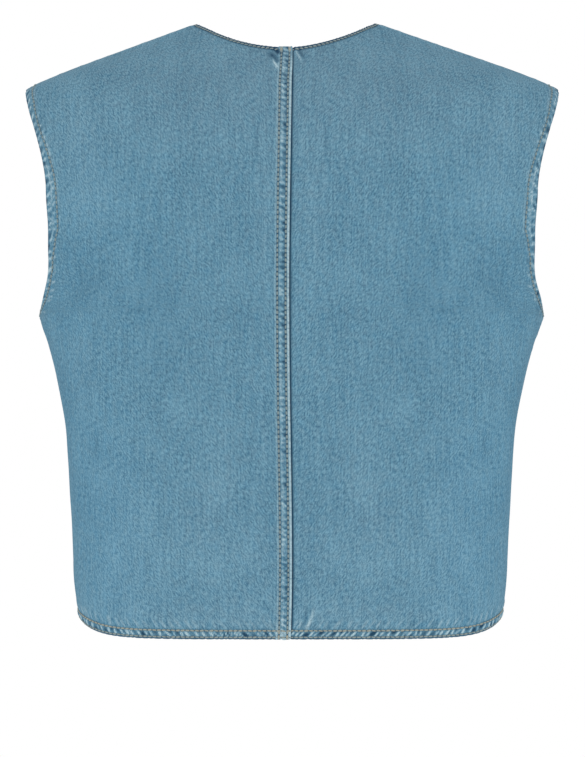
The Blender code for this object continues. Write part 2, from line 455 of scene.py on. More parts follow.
@dataclass
class WornForm:
    """The hollow shape that the worn cloth follows, ring by ring from the hem to the shoulder ridge."""

    rings: tuple[Ring, ...] = RINGS
    armhole_low_power: float = 0.4
    armhole_high_power: float = 0.52
    armhole_hollow: float = 0.11
    armhole_hollow_rise: float = 0.13
    armhole_hollow_half_width: float = 0.11
    samples: int = 361
    depth_columns: tuple[int, int] = (3, 4)

    def __post_init__(self) -> None:
        """Work out the slope of every size at every ring."""
        self.names = [ring.name for ring in self.rings]
        self.sizes = np.array([astuple(ring)[1:] for ring in self.rings])
        self.gaps = np.hypot(np.diff(self.sizes[:, 0]), np.diff(self.sizes[:, self.depth_columns[0]]))
        self.slopes = self.ring_slopes()
        self.top = len(self.rings) - 1
        self.underarm_z = self.rings[self.names.index("underarm")].side_z
        self.tip_z = self.rings[-1].side_z

    def ring_slopes(self) -> np.ndarray:
        """Slope of every size at every ring, flat where a size turns, level over the shoulder ridge.

        Returns:
            Slopes, rings by sizes.
        """
        past_ridge = self.sizes[-2].copy()
        past_ridge[list(self.depth_columns)] *= -1
        padded = np.vstack([2 * self.sizes[0] - self.sizes[1], self.sizes, past_ridge])
        spans = np.concatenate([self.gaps[:1], self.gaps, self.gaps[-1:]])[:, None]
        rates = np.diff(padded, axis=0) / spans
        before = 2 * spans[1:] + spans[:-1]
        after = spans[1:] + 2 * spans[:-1]
        agree = rates[:-1] * rates[1:] > 0
        safe_before = np.where(agree, rates[:-1], 1.0)
        safe_after = np.where(agree, rates[1:], 1.0)
        return np.where(agree, (before + after) / (before / safe_before + after / safe_after), 0.0)

    def ring_at(self, levels: np.ndarray) -> np.ndarray:
        """Ring sizes at levels, which count rings up from the hem.

        Args:
            levels: Levels from 0 at the hem.

        Returns:
            Sizes, levels by sizes.
        """
        low = np.minimum(levels.astype(int), self.top - 1)
        part = (levels - low)[:, None]
        gap = self.gaps[low][:, None]
        start = 2 * part**3 - 3 * part**2 + 1
        sizes = start * self.sizes[low] + (1 - start) * self.sizes[low + 1]
        sizes += (part**3 - 2 * part**2 + part) * gap * self.slopes[low]
        return sizes + (part**3 - part**2) * gap * self.slopes[low + 1]

    def armhole_reach(self, height: np.ndarray, widest_reach: float) -> np.ndarray:
        """Distance of the armhole's edge from the shoulder plane: round below, pointed above.

        Args:
            height: Heights of points.
            widest_reach: The reach where the armhole is widest.

        Returns:
            The reach at each height.
        """
        low, high = self.armhole_low_power, self.armhole_high_power
        rise = np.clip((height - self.underarm_z) / (self.tip_z - self.underarm_z), 0.0, 1.0)
        widest = low / (low + high)
        full = widest**low * (1 - widest) ** high
        hollow = self.armhole_hollow * mound(rise, self.armhole_hollow_rise, self.armhole_hollow_half_width)
        return widest_reach * (1 + hollow) * rise**low * (1 - rise) ** high / full

    def sections(self, levels: np.ndarray, facing: Facing, armhole: float) -> tuple[np.ndarray, np.ndarray]:
        """Curves round the body from the centre plane to the side or the armhole.

        Args:
            levels: Levels of the curves.
            facing: Back or front.
            armhole: Widest reach of the armhole.

        Returns:
            Points as x, depth and z, and the length along each curve to each point.
        """
        centre_z, side_z, half_width, back, front, square, drop = self.ring_at(levels).T[:, :, None]
        depth = back if facing is Facing.BACK else front
        angle = np.linspace(0.0, math.pi / 2, self.samples)[None, :]
        across = np.sin(angle) ** (2 / square)
        inward = np.clip(np.cos(angle), 0.0, 1.0) ** (2 / square)
        inward[:, -1] = 0.0
        height = centre_z + (side_z - centre_z) * across**drop
        points = np.stack([half_width * across, depth * inward, height], axis=2)
        spare = points[:, :, 1] - self.armhole_reach(height, armhole)
        for row in np.flatnonzero((spare < 0).any(axis=1)):
            cut = int(np.argmax(spare[row] < 0))
            share = spare[row, cut - 1] / (spare[row, cut - 1] - spare[row, cut])
            points[row, cut:] = points[row, cut - 1] + share * (points[row, cut] - points[row, cut - 1])
        steps = np.linalg.norm(np.diff(points, axis=1), axis=2)
        return points, np.concatenate([np.zeros((len(levels), 1)), np.cumsum(steps, axis=1)], axis=1)


# Creases, puckers and stitching

Drift = tuple[tuple[float, float], ...]


def drift_at(drift: Drift, heights: np.ndarray) -> np.ndarray:
    """How far rows wander at heights.

    Args:
        drift: Heights from low to high, each with how far a row wanders there.
        heights: Heights of points.

    Returns:
        The wandering at each point.
    """
    if not drift:
        return np.zeros_like(heights)
    places, asides = np.array(drift).T
    return np.interp(heights, places, asides)


@dataclass(frozen=True)
class Crease:
    """A soft ridge, or a trough of negative height, along a line that may bow sideways. It may be pale, or
    dark below 0, which paints light and shade, and wear, on the cloth, and greyer, or bluer below 0.
    """

    name: str
    start_x: float
    start_z: float
    end_x: float
    end_z: float
    half_width: float
    height: float
    bow: float = 0.0
    pale: float = 0.0
    tone: float = 0.0
    end_softness: float = 0.75

    def shape(self, x: np.ndarray, z: np.ndarray) -> np.ndarray:
        """Share of the crease at points, 1 on its line, faded out at the line's ends.

        Args:
            x: Distances from the centre plane.
            z: Heights.

        Returns:
            The share at each point.
        """
        run_x = self.end_x - self.start_x
        run_z = self.end_z - self.start_z
        length = math.hypot(run_x, run_z)
        along = ((x - self.start_x) * run_x + (z - self.start_z) * run_z) / length**2
        part = np.clip(along, 0.0, 1.0)
        beside = ((x - self.start_x) * run_z - (z - self.start_z) * run_x) / length
        beside = beside - 4 * self.bow * part * (1 - part)
        return np.sin(math.pi * part) ** self.end_softness * mound(beside, 0.0, self.half_width)


# Creases by name, start x and z, end x and z, half width, height and bow
BACK_CREASES = (
    Crease("underarm trough", 232.0, -266.0, 150.0, -214.0, 11.0, -5.0),
    Crease("blade trough", 100.0, -120.0, 98.0, -318.0, 20.0, -2.4),
    Crease("side ridge", 158.0, -366.0, 126.0, -470.0, 8.0, 1.8),
    Crease("shoulder trough", 172.0, -66.0, 82.0, -36.0, 12.0, -1.3),
    Crease("waist arc", 84.0, -364.0, 28.0, -344.0, 9.0, 0.9, 4.0),
    Crease("tail fold", 57.0, -488.0, 38.0, -436.0, 5.0, 1.0),
    Crease("side hollow", 186.0, -312.0, 172.0, -428.0, 11.0, -1.8),
    Crease("hip swell", 180.0, -476.0, 170.0, -520.0, 14.0, 1.0),
)
FRONT_CREASES = (
    Crease("underarm trough", 230.0, -268.0, 146.0, -206.0, 12.0, -5.0),
    Crease("chest trough", 112.0, -150.0, 118.0, -300.0, 20.0, -2.4),
    Crease("side ridge", 150.0, -392.0, 128.0, -486.0, 9.0, 2.0),
    Crease("shoulder trough", 176.0, -68.0, 104.0, -40.0, 12.0, -1.4),
    Crease("waist arc", 96.0, -380.0, 36.0, -352.0, 10.0, 1.1, 5.0),
    Crease("front fold", 52.0, -492.0, 34.0, -430.0, 6.0, 1.1),
    Crease("side hollow", 188.0, -320.0, 174.0, -440.0, 11.0, -1.8),
)

# Broad places with no height: painted light and painted shade (pale), and places made greyer or bluer (tone),
# the blue at the sides painted to offset the grey sheen of grazing light
FADES = (
    Crease("greyed shoulders", -250.0, -12.0, 250.0, -92.0, 60.0, 0.0, tone=0.12),
    Crease("blue sides", 198.0, -110.0, 186.0, -590.0, 42.0, 0.0, tone=-0.085),
    Crease("yoke shade", -230.0, -28.0, 230.0, -68.0, 32.0, 0.0, pale=-0.05),
    Crease("armhole light", 192.0, -44.0, 166.0, -196.0, 24.0, 0.0, pale=0.09, tone=-0.075),
    Crease("underarm shade", 178.0, -198.0, 172.0, -288.0, 16.0, 0.0, pale=-0.06),
    Crease("blade shade", 112.0, -186.0, 112.0, -334.0, 21.0, 0.0, pale=-0.1, tone=-0.03),
    Crease("blade blue", 142.0, -50.0, 122.0, -330.0, 34.0, 0.0, tone=-0.045),
    Crease("seam high light", 14.0, -84.0, 20.0, -240.0, 13.0, 0.0, pale=0.045),
    Crease("seam light", 42.0, -346.0, 86.0, -474.0, 18.0, 0.0, pale=0.05),
    Crease("rib light", 178.0, -258.0, 176.0, -352.0, 13.0, 0.0, pale=0.05),
    Crease("flank light", 152.0, -330.0, 146.0, -600.0, 36.0, 0.0, pale=0.06, tone=-0.1),
    Crease("tail light", -190.0, -478.0, 190.0, -478.0, 62.0, 0.0, pale=0.045, tone=-0.02),
    Crease("hem light", -190.0, -519.0, 190.0, -519.0, 8.0, 0.0, pale=0.06),
)

# Small tucks beside the centre-back seam, where the neck's edge runs under the band and beside the hem: their
# ridges pale from wear and painted light, their hollows dark from unworn cloth and painted shade, and painted
# shade down the band
LEFT_TUCKS = (
    Crease("neck notch", 15.0, -29.4, 9.4, -37.4, 1.5, -0.8, pale=-1.6),
    Crease("neck hollow", 18.4, -34.0, 11.0, -46.6, 2.6, -0.7, pale=-0.85),
    Crease("neck tuck", 16.4, -39.4, 10.4, -52.4, 1.3, 0.7, pale=1.2),
    Crease("band shade", 7.0, -140.0, 7.0, -340.0, 7.0, 0.0, pale=-0.12),
    Crease("band top hollow", 7.4, -33.0, 7.4, -39.0, 2.4, -0.2, pale=-0.9),
    Crease("hem hollow", 23.0, -506.0, 13.0, -532.0, 1.7, -0.5, pale=-0.5),
    Crease("hem tuck", 20.5, -512.0, 14.0, -533.0, 1.2, 0.6, pale=0.6),
)
RIGHT_TUCKS = (
    Crease("neck tuck", 3.6, -32.4, 10.0, -44.6, 0.9, 0.6, pale=0.7),
    Crease("neck hollow", 6.6, -32.0, 12.4, -42.0, 1.7, -0.5, pale=-0.6),
    Crease("hem tuck", 13.0, -534.0, 21.0, -512.0, 1.3, 0.5, pale=0.5),
    Crease("hem hollow", 9.0, -532.0, 16.0, -510.0, 1.6, -0.4, pale=-0.4),
)


@dataclass(frozen=True)
class Puckers:
    """Small ridges that stitching draws up beside it, unevenly spaced along an edge. Pairs are the least and
    the most. start and end are distances from the edge, and fade is how far they take to come in and go
    out. pale and dark say how much the ridges are worn and lit with painted light, and the hollows left
    unworn and darkened with painted shade.
    """

    gap: tuple[float, float]
    half_width: tuple[float, float]
    height: tuple[float, float]
    slant: tuple[float, float]
    start: float
    end: float
    fade: float
    pale: float
    dark: float
    hollow_share: float = 1.0
    hollow_spread: float = 0.45
    pale_range: tuple[float, float] = (0.4, 1.0)
    dark_range: tuple[float, float] = (0.2, 1.0)

    def relief(
        self, run: np.ndarray, distance: np.ndarray, chance: np.random.Generator
    ) -> tuple[np.ndarray, np.ndarray]:
        """Outward move of the cloth, and its wear with painted light and shade.

        Args:
            run: Distances along the edge.
            distance: Distances from the edge.
            chance: Seeded source of the unevenness.

        Returns:
            The move, and the wear with painted light and shade, from -1, unworn and painted shade, to 1, worn
            pale and painted light.
        """
        move = np.zeros_like(run)
        wash = np.zeros_like(run)
        breadth = self.end - self.start
        middle = (self.start + self.end) / 2
        place = run.min() + chance.uniform(0.0, self.gap[1])
        while place < run.max():
            half = chance.uniform(*self.half_width)
            lean = chance.uniform(*self.slant)
            step = chance.uniform(*self.gap)
            across = chance.uniform(self.start, self.start + self.hollow_share * breadth)
            sheared = run - lean * (distance - middle)
            ridge = mound(sheared, place, half)
            hollow = mound(sheared, place + step / 2, max(step / 2 - half, half))
            hollow *= mound(distance, across, self.hollow_spread * breadth)
            move += chance.uniform(*self.height) * ridge
            # Ridges pale from wear and painted light, hollows dark from unworn cloth and painted shade
            pale = self.pale * chance.uniform(*self.pale_range)
            dark = self.dark * chance.uniform(*self.dark_range)
            wash += pale * ridge - dark * hollow
            place += step
        window = ease((distance - self.start) / self.fade) * ease((self.end - distance) / self.fade)
        return move * window, np.clip(wash, -WASH_AND_SHADING_LIMIT, WASH_AND_SHADING_LIMIT) * window


@dataclass(frozen=True)
class EdgeFinish:
    """How an edge is finished, in millimetres from the edge. roll is the height of the doubled cloth,
    ridges the pale crests beside it (place, half width, pale), and drift the heights at which the rows
    wander, each with how far. fresh says how little the thread of each row is washed, up to 1.
    """

    stitch_rows: tuple[float, ...]
    roll: float
    roll_width: float
    # edge_dark darkens the edge: its doubled cloth is unworn, with painted shade for the shadow of its roll
    edge_dark: float
    edge_dark_width: float
    puckers: tuple[Puckers, ...]
    roll_fade: float = 2.0
    ridges: tuple[tuple[float, float, float], ...] = ()
    ridge_gap: float = 5.0
    ridge_most: float = 1.4
    drift: Drift = ()
    row_dip: float = 0.4
    # Painted shade beside each row of stitches
    row_painted_shade: float = 0.45
    row_half_width: float = 0.9
    fresh: tuple[float, ...] = (0.0, 0.0)


# Puckers by gap, half width, height, slant, start, end, fade, pale and dark
HEM = EdgeFinish(
    stitch_rows=(7.4, 2.0), fresh=(0.5, 0.15), roll=0.5, roll_width=7.4, edge_dark=1.6, edge_dark_width=1.3,
    row_painted_shade=0.6, row_half_width=1.0,
    puckers=(
        Puckers((3.6, 8.5), (0.75, 1.15), (0.5, 1.1), (0.5, 1.1), 1.8, 7.4, 0.7, 2.2, 1.8),
        Puckers((4.0, 11.0), (0.9, 1.6), (0.4, 0.8), (0.5, 1.0), 7.4, 18.0, 4.0, 0.5, 0.25),
    ),
)
ARMHOLE = EdgeFinish(
    stitch_rows=(7.2,), roll=0.6, roll_width=7.2, edge_dark=1.2, edge_dark_width=1.3, row_painted_shade=0.2,
    row_half_width=0.9, ridges=((2.4, 0.8, 0.6), (9.4, 0.9, 0.3)),
    drift=(
        (-257.0, -3.4), (-248.0, -1.8), (-240.0, -1.6), (-231.0, -1.3), (-222.0, -0.5), (-214.0, -0.7),
        (-205.0, 1.5), (-197.0, 2.8), (-189.0, 5.2), (-168.0, 5.2), (-154.0, 4.8), (-137.0, 3.3),
        (-120.0, 1.2), (-102.0, 0.0), (-94.0, 0.2), (-86.0, 1.4), (-76.0, 2.9), (-66.0, 2.2),
    ),
    puckers=(
        Puckers((4.5, 11.0), (1.0, 2.0), (0.1, 0.35), (-0.3, 0.9), 0.6, 6.8, 0.9, 1.1, 1.4),
        Puckers((3.6, 9.0), (0.8, 1.4), (0.15, 0.4), (-0.2, 1.0), 6.6, 12.0, 1.8, 0.8, 0.4),
    ),
)
NECK = EdgeFinish(
    stitch_rows=(3.0,), fresh=(0.12,), roll=0.6, roll_width=4.4, edge_dark=1.4, edge_dark_width=1.7,
    row_painted_shade=1.3, row_half_width=1.4,
    puckers=(
        Puckers((3.2, 4.4), (0.8, 1.2), (0.2, 0.4), (-0.3, 0.6), 0.0, 2.4, 0.6, 0.35, 0.8),
        Puckers((8.0, 24.0), (1.2, 2.0), (0.2, 0.5), (-0.6, 0.6), 4.6, 12.0, 2.5, 0.3, 0.25),
    ),
)
FRONT_EDGE = EdgeFinish(
    stitch_rows=(6.2,), roll=0.6, roll_width=6.2, edge_dark=0.3, edge_dark_width=1.5,
    puckers=(Puckers((7.0, 17.0), (1.4, 2.6), (0.4, 0.8), (-0.6, 0.6), 0.6, 5.8, 1.4, 0.8, 0.25),),
)
PLAIN_SEAM = EdgeFinish(
    stitch_rows=(), roll=0.3, roll_width=6.0, edge_dark=0.6, edge_dark_width=0.9, ridges=((1.8, 0.9, 0.25),),
    puckers=(Puckers((8.0, 22.0), (1.6, 3.2), (0.1, 0.3), (-0.5, 0.5), 0.0, 10.0, 3.0, 0.25, 0.2),),
)


@dataclass(frozen=True)
class CentreBand:
    """The centre-back seam: allowances pressed to one half under two rows, with a folded edge. Painted
    highlights lie on the fold and the lip, and painted shade along the rows and in the groove beside the
    band.
    """

    stitch_rows: tuple[float, ...] = (3.1, 10.2)
    width: float = 11.8
    step: float = 2.2
    rise: float = 1.2
    fold_place: float = 1.45
    fold_half_width: float = 0.74
    fold_height: float = 0.35
    # Painted highlights on the fold and on the lip where the cloth steps down over the allowance
    fold_highlight: float = 1.1
    lip_place: float = 11.7
    lip_highlight: float = 0.5
    row_dip: float = 0.45
    # Painted shade along each row
    row_painted_shade: float = 1.2
    row_half_width: float = 0.85
    drift: Drift = ((-62.0, 0.0), (-45.0, -1.0), (-31.0, -1.3))
    crown_place: float = 7.6
    crown_half_width: float = 1.5
    crown_pale: float = 0.33
    end_pale: float = 0.6
    end_reach: float = 16.0
    under_dip: float = 1.1
    under_half_width: float = 1.7
    # Painted shadow in the groove where the other half slips under the band
    under_painted_shadow: float = 1.5
    under_painted_shadow_width: float = 1.1
    fresh_reach: float = 9.0
    bar_length: float = 5.6
    bar_gap: float = 0.5
    bar_fresh: float = 0.7
    puckers: Puckers = Puckers(
        (3.4, 7.0), (0.8, 1.5), (0.3, 0.8), (0.1, 0.7), 3.4, 10.0, 1.2, 0.7, 1.3, 0.5
    )

    def over(
        self, run: np.ndarray, distance: np.ndarray, height: np.ndarray, chance: np.random.Generator
    ) -> tuple[np.ndarray, np.ndarray]:
        """Relief of the half that carries the band.

        Args:
            run: Distances along the seam.
            distance: Distances from the seam.
            height: Heights of the points.
            chance: Seeded source of the unevenness.

        Returns:
            The outward move, and the wear with painted highlights and painted shade.
        """
        aside = drift_at(self.drift, height)
        sewn_place = distance - aside
        move, wash = self.puckers.relief(run, sewn_place, chance)
        move += self.rise * ease((self.width + self.step - sewn_place) / self.step)
        fold = mound(distance - aside / 2, self.fold_place, self.fold_half_width)
        lip = mound(sewn_place, self.lip_place, self.fold_half_width)
        move += self.fold_height * fold
        # Painted highlights on the fold and the lip
        wash += self.fold_highlight * fold + self.lip_highlight * lip
        wash += self.crown_pale * mound(sewn_place, self.crown_place, self.crown_half_width)
        hemmed = ease(1.0 - run / self.end_reach) * ease((self.width + self.step - sewn_place) / self.step)
        wash += self.end_pale * hemmed
        # Each row dips, and painted shade darkens it
        for row in self.stitch_rows:
            sewn = mound(sewn_place, row, self.row_half_width)
            move -= self.row_dip * sewn
            wash = wash * (1.0 - sewn) - self.row_painted_shade * sewn
        return move, wash

    def under(self, distance: np.ndarray) -> tuple[np.ndarray, np.ndarray]:
        """Relief of the half that slips under the band, with painted shadow in the groove beside it.

        Args:
            distance: Distances from the seam, below 0 under the band.

        Returns:
            The outward move, and the painted shadow.
        """
        beyond = np.clip(distance, 0.0, None)
        # Painted shadow in the groove beside the band
        dark = self.under_painted_shadow * mound(beyond, 0.0, self.under_painted_shadow_width)
        return -self.under_dip * mound(beyond, 0.0, self.under_half_width), -dark


@dataclass
class Topstitch:
    """Stitches along rows of one panel, laid by Geometry Nodes as short arches that dive at both ends."""

    name: str
    pitch: float = 4.0
    reach: float = 2.4
    thickness: float = 1.9
    arch: float = 0.55
    sink: float = 0.5
    flatness: float = 0.7
    turn: float = 0.0
    # dive sets how far the painted shade at the stitch ends reaches
    dive: float = 1.0
    unevenness: float = 0.18
    seed: int = 3
    sides: int = 6
    bends: int = 6
    rows: list[tuple[np.ndarray, np.ndarray, np.ndarray]] = field(default_factory=list)

    def sizes(self) -> dict[str, float]:
        """Sizes of a stitch for the node tree, lengths in metres.

        Returns:
            Each size under the name of its input.
        """
        return {
            "Pitch": self.pitch * MM, "Reach": self.reach * MM, "Thickness": self.thickness * MM,
            "Arch": self.arch * MM, "Sink": self.sink * MM, "Flatness": self.flatness, "Turn": self.turn,
            "Dive": 2 * self.dive, "Unevenness": self.unevenness,
        }

    def stitch(self, tree: NodeTree, given: bpy.types.bpy_prop_collection) -> NodeSocket:
        """Build one stitch, a round arch along X, marked with how near its ends are.

        Args:
            tree: The tree that lays the stitches.
            given: The tree's inputs.

        Returns:
            The stitch.
        """
        half = maths(tree, "MULTIPLY", given["Reach"], 0.5)
        back = maths(tree, "MULTIPLY", half, -1.0)
        down = maths(tree, "MULTIPLY", given["Sink"], -1.0)
        crown = maths(tree, "MULTIPLY_ADD", given["Arch"], 2.0, given["Sink"])
        ends = {"Start": {"X": back, "Z": down}, "Middle": {"Z": crown}, "End": {"X": half, "Z": down}}
        places = {
            end: add_node(tree, "ShaderNodeCombineXYZ", parts).outputs[0] for end, parts in ends.items()
        }
        arch = add_node(
            tree, "GeometryNodeCurveQuadraticBezier", {"Resolution": self.bends, **places}
        ).outputs[0]
        # How near the ends are, which the thread's material turns into painted shade
        factor = add_node(tree, "GeometryNodeSplineParameter").outputs["Factor"]
        apart = maths(tree, "ABSOLUTE", maths(tree, "SUBTRACT", factor, 0.5))
        dived_shade = maths(tree, "MULTIPLY", apart, given["Dive"])
        marked = add_node(
            tree, "GeometryNodeStoreNamedAttribute", {"Geometry": arch, "Name": "along", "Value": dived_shade},
            data_type="FLOAT", domain="POINT",
        ).outputs[0]
        radius = maths(tree, "MULTIPLY", given["Thickness"], 0.5)
        ring = add_node(
            tree, "GeometryNodeCurvePrimitiveCircle", {"Resolution": self.sides, "Radius": radius}
        ).outputs[0]
        inputs = {"Curve": marked, "Profile Curve": ring, "Fill Caps": True}
        return add_node(tree, "GeometryNodeCurveToMesh", inputs).outputs[0]

    def tree(self) -> NodeTree:
        """Build the node tree that lays stitches along the rows.

        Returns:
            The tree, with its sizes as named inputs.
        """
        tree = bpy.data.node_groups.new(self.name + "_rows", "GeometryNodeTree")
        sizes = dict.fromkeys(self.sizes(), "Float")
        kinds = {"Rows": "Geometry", **sizes, "Seed": "Int", "Thread": "Material"}
        for label, kind in kinds.items():
            tree.interface.new_socket(label, in_out="INPUT", socket_type="NodeSocket" + kind)
        tree.interface.new_socket("Stitches", in_out="OUTPUT", socket_type="NodeSocketGeometry")
        given = add_node(tree, "NodeGroupInput").outputs
        # Points along every row, a whole number of stitches to a row
        curve = add_node(tree, "GeometryNodeMeshToCurve", {"Mesh": given["Rows"]}).outputs[0]
        length = add_node(tree, "GeometryNodeSplineLength").outputs["Length"]
        count = maths(tree, "DIVIDE", length, given["Pitch"])
        even = add_node(
            tree, "GeometryNodeResampleCurve", {"Curve": curve, "Count": count}, mode="COUNT"
        ).outputs[0]
        points = add_node(tree, "GeometryNodeCurveToPoints", {"Curve": even}, mode="EVALUATED").outputs
        # Every stitch stands on the cloth, runs along its row and is a little uneven
        upright = add_node(
            tree, "GeometryNodeInputNamedAttribute", {"Name": "up"}, data_type="FLOAT_VECTOR"
        ).outputs[0]
        standing = add_node(
            tree, "FunctionNodeAlignRotationToVector", {"Vector": upright}, axis="Z"
        ).outputs[0]
        running = add_node(
            tree, "FunctionNodeAlignRotationToVector", {"Rotation": standing, "Vector": points["Tangent"]},
            axis="X", pivot_axis="Z",
        ).outputs[0]
        less = maths(tree, "MULTIPLY", given["Unevenness"], -1.0)
        jitter = add_node(
            tree, "FunctionNodeRandomValue", {2: less, 3: given["Unevenness"], "Seed": given["Seed"]},
            data_type="FLOAT",
        ).outputs[1]
        lean = maths(tree, "ADD", given["Turn"], jitter)
        turned = add_node(tree, "ShaderNodeCombineXYZ", {"Z": lean}).outputs[0]
        as_turn = add_node(tree, "FunctionNodeEulerToRotation", {0: turned}).outputs[0]
        laid = add_node(
            tree, "FunctionNodeRotateRotation", {0: running, 1: as_turn}, rotation_space="LOCAL"
        ).outputs[0]
        breadth = maths(tree, "ADD", 1.0, jitter)
        scale = add_node(
            tree, "ShaderNodeCombineXYZ", {"X": 1.0, "Y": breadth, "Z": given["Flatness"]}
        ).outputs[0]
        sewn = add_node(
            tree, "GeometryNodeInstanceOnPoints",
            {"Points": points[0], "Instance": self.stitch(tree, given), "Rotation": laid, "Scale": scale},
        ).outputs[0]
        real = add_node(tree, "GeometryNodeRealizeInstances", {0: sewn}).outputs[0]
        dressed = {"Geometry": real, "Material": given["Thread"]}
        add_node(tree, "NodeGroupOutput", {0: add_node(tree, "GeometryNodeSetMaterial", dressed).outputs[0]})
        return tree

    def sew(self, points: np.ndarray, upright: np.ndarray, fresh: np.ndarray) -> None:
        """Add a row, half a stitch shorter at both ends.

        Args:
            points: Places along the row, in metres.
            upright: Normals of the cloth there.
            fresh: How little the thread is washed there, up to 1.
        """
        runs = line_runs(points)
        end = self.reach * MM / 2
        kept = np.linspace(end, runs[-1] - end, len(runs))
        row = [
            np.column_stack([np.interp(kept, runs, axis) for axis in part.T]) for part in (points, upright)
        ]
        self.rows.append((*row, np.interp(kept, runs, fresh)))

    def build(self, thread: Material) -> Object:
        """Sew the rows and turn the stitches into a plain mesh.

        Args:
            thread: The thread's material.

        Returns:
            The stitches as one object.
        """
        places = np.vstack([row[0] for row in self.rows])
        upright = np.vstack([row[1] for row in self.rows])
        fresh = np.concatenate([row[2] for row in self.rows])
        edges = []
        first = 0
        for row in self.rows:
            edges += [(first + step, first + step + 1) for step in range(len(row[0]) - 1)]
            first += len(row[0])
        paths = bpy.data.meshes.new(self.name + "_paths")
        paths.from_pydata(places.tolist(), edges, [])
        up = paths.attributes.new("up", "FLOAT_VECTOR", "POINT")
        up.data.foreach_set("vector", upright.ravel())
        new = paths.attributes.new("fresh", "FLOAT", "POINT")
        new.data.foreach_set("value", fresh)
        sewing = add_object(self.name + "_sewing", paths)
        modifier = sewing.modifiers.new("sewing", "NODES")
        modifier.node_group = self.tree()
        values = {**self.sizes(), "Seed": self.seed, "Thread": thread}
        for item in modifier.node_group.interface.items_tree:
            if item.in_out == "INPUT" and item.name in values:
                modifier[item.identifier] = values[item.name]
        graph = bpy.context.evaluated_depsgraph_get()
        mesh = bpy.data.meshes.new_from_object(sewing.evaluated_get(graph))
        mesh.name = self.name
        mesh.shade_smooth()
        bpy.data.objects.remove(sewing)
        return add_object(self.name, mesh)


# Panels


@dataclass(frozen=True)
class Span:
    """A place where something begins, and the distance over which it comes in."""

    start: float
    reach: float

    def share(self, places: np.ndarray) -> np.ndarray:
        """Soft share from 0 at the start to 1 past the reach."""
        return ease((places - self.start) / self.reach)


@dataclass(frozen=True)
class Hang:
    """How a half of the form hangs unevenly: it leans, its shoulder drops and its underarm sags and swells.
    Spans say where each of these comes in, along x or z as their names end.
    """

    neck_drop: float
    underarm_drop: float
    underarm_swell: float
    lean: float = -1.5
    tip_drop: float = 1.4
    tip_rounding: float = 1.7
    neck_rounding: float = 0.8
    neck_point_half_width: float = 5.0
    lean_z: Span = Span(-420.0, 360.0)
    shoulder_z: Span = Span(-130.0, 80.0)
    neck_inner_x: Span = Span(0.0, 70.0)
    neck_outer_x: Span = Span(260.0, -200.0)
    tip_x: Span = Span(190.0, 45.0)
    corner_x: Span = Span(222.0, 18.0)
    corner_z: Span = Span(-104.0, 40.0)
    end_x: Span = Span(228.0, 9.0)
    end_z: Span = Span(-64.0, 6.0)
    underarm_x: Span = Span(150.0, 60.0)
    underarm_z: float = -262.0
    underarm_half_height: float = 45.0
    swell_x: Span = Span(180.0, 40.0)
    swell_z: float = -247.0
    swell_half_height: float = 13.0


@dataclass(frozen=True)
class Slack:
    """Loose waves between the creases: their height, their sizes across and up the cloth, and a shift that
    sets them apart from other waves.
    """

    height: float
    across: float
    up: float
    shift: float


SLACKS = (Slack(0.9, 60.0, 85.0, 0.0), Slack(0.35, 19.0, 27.0, 5.0))


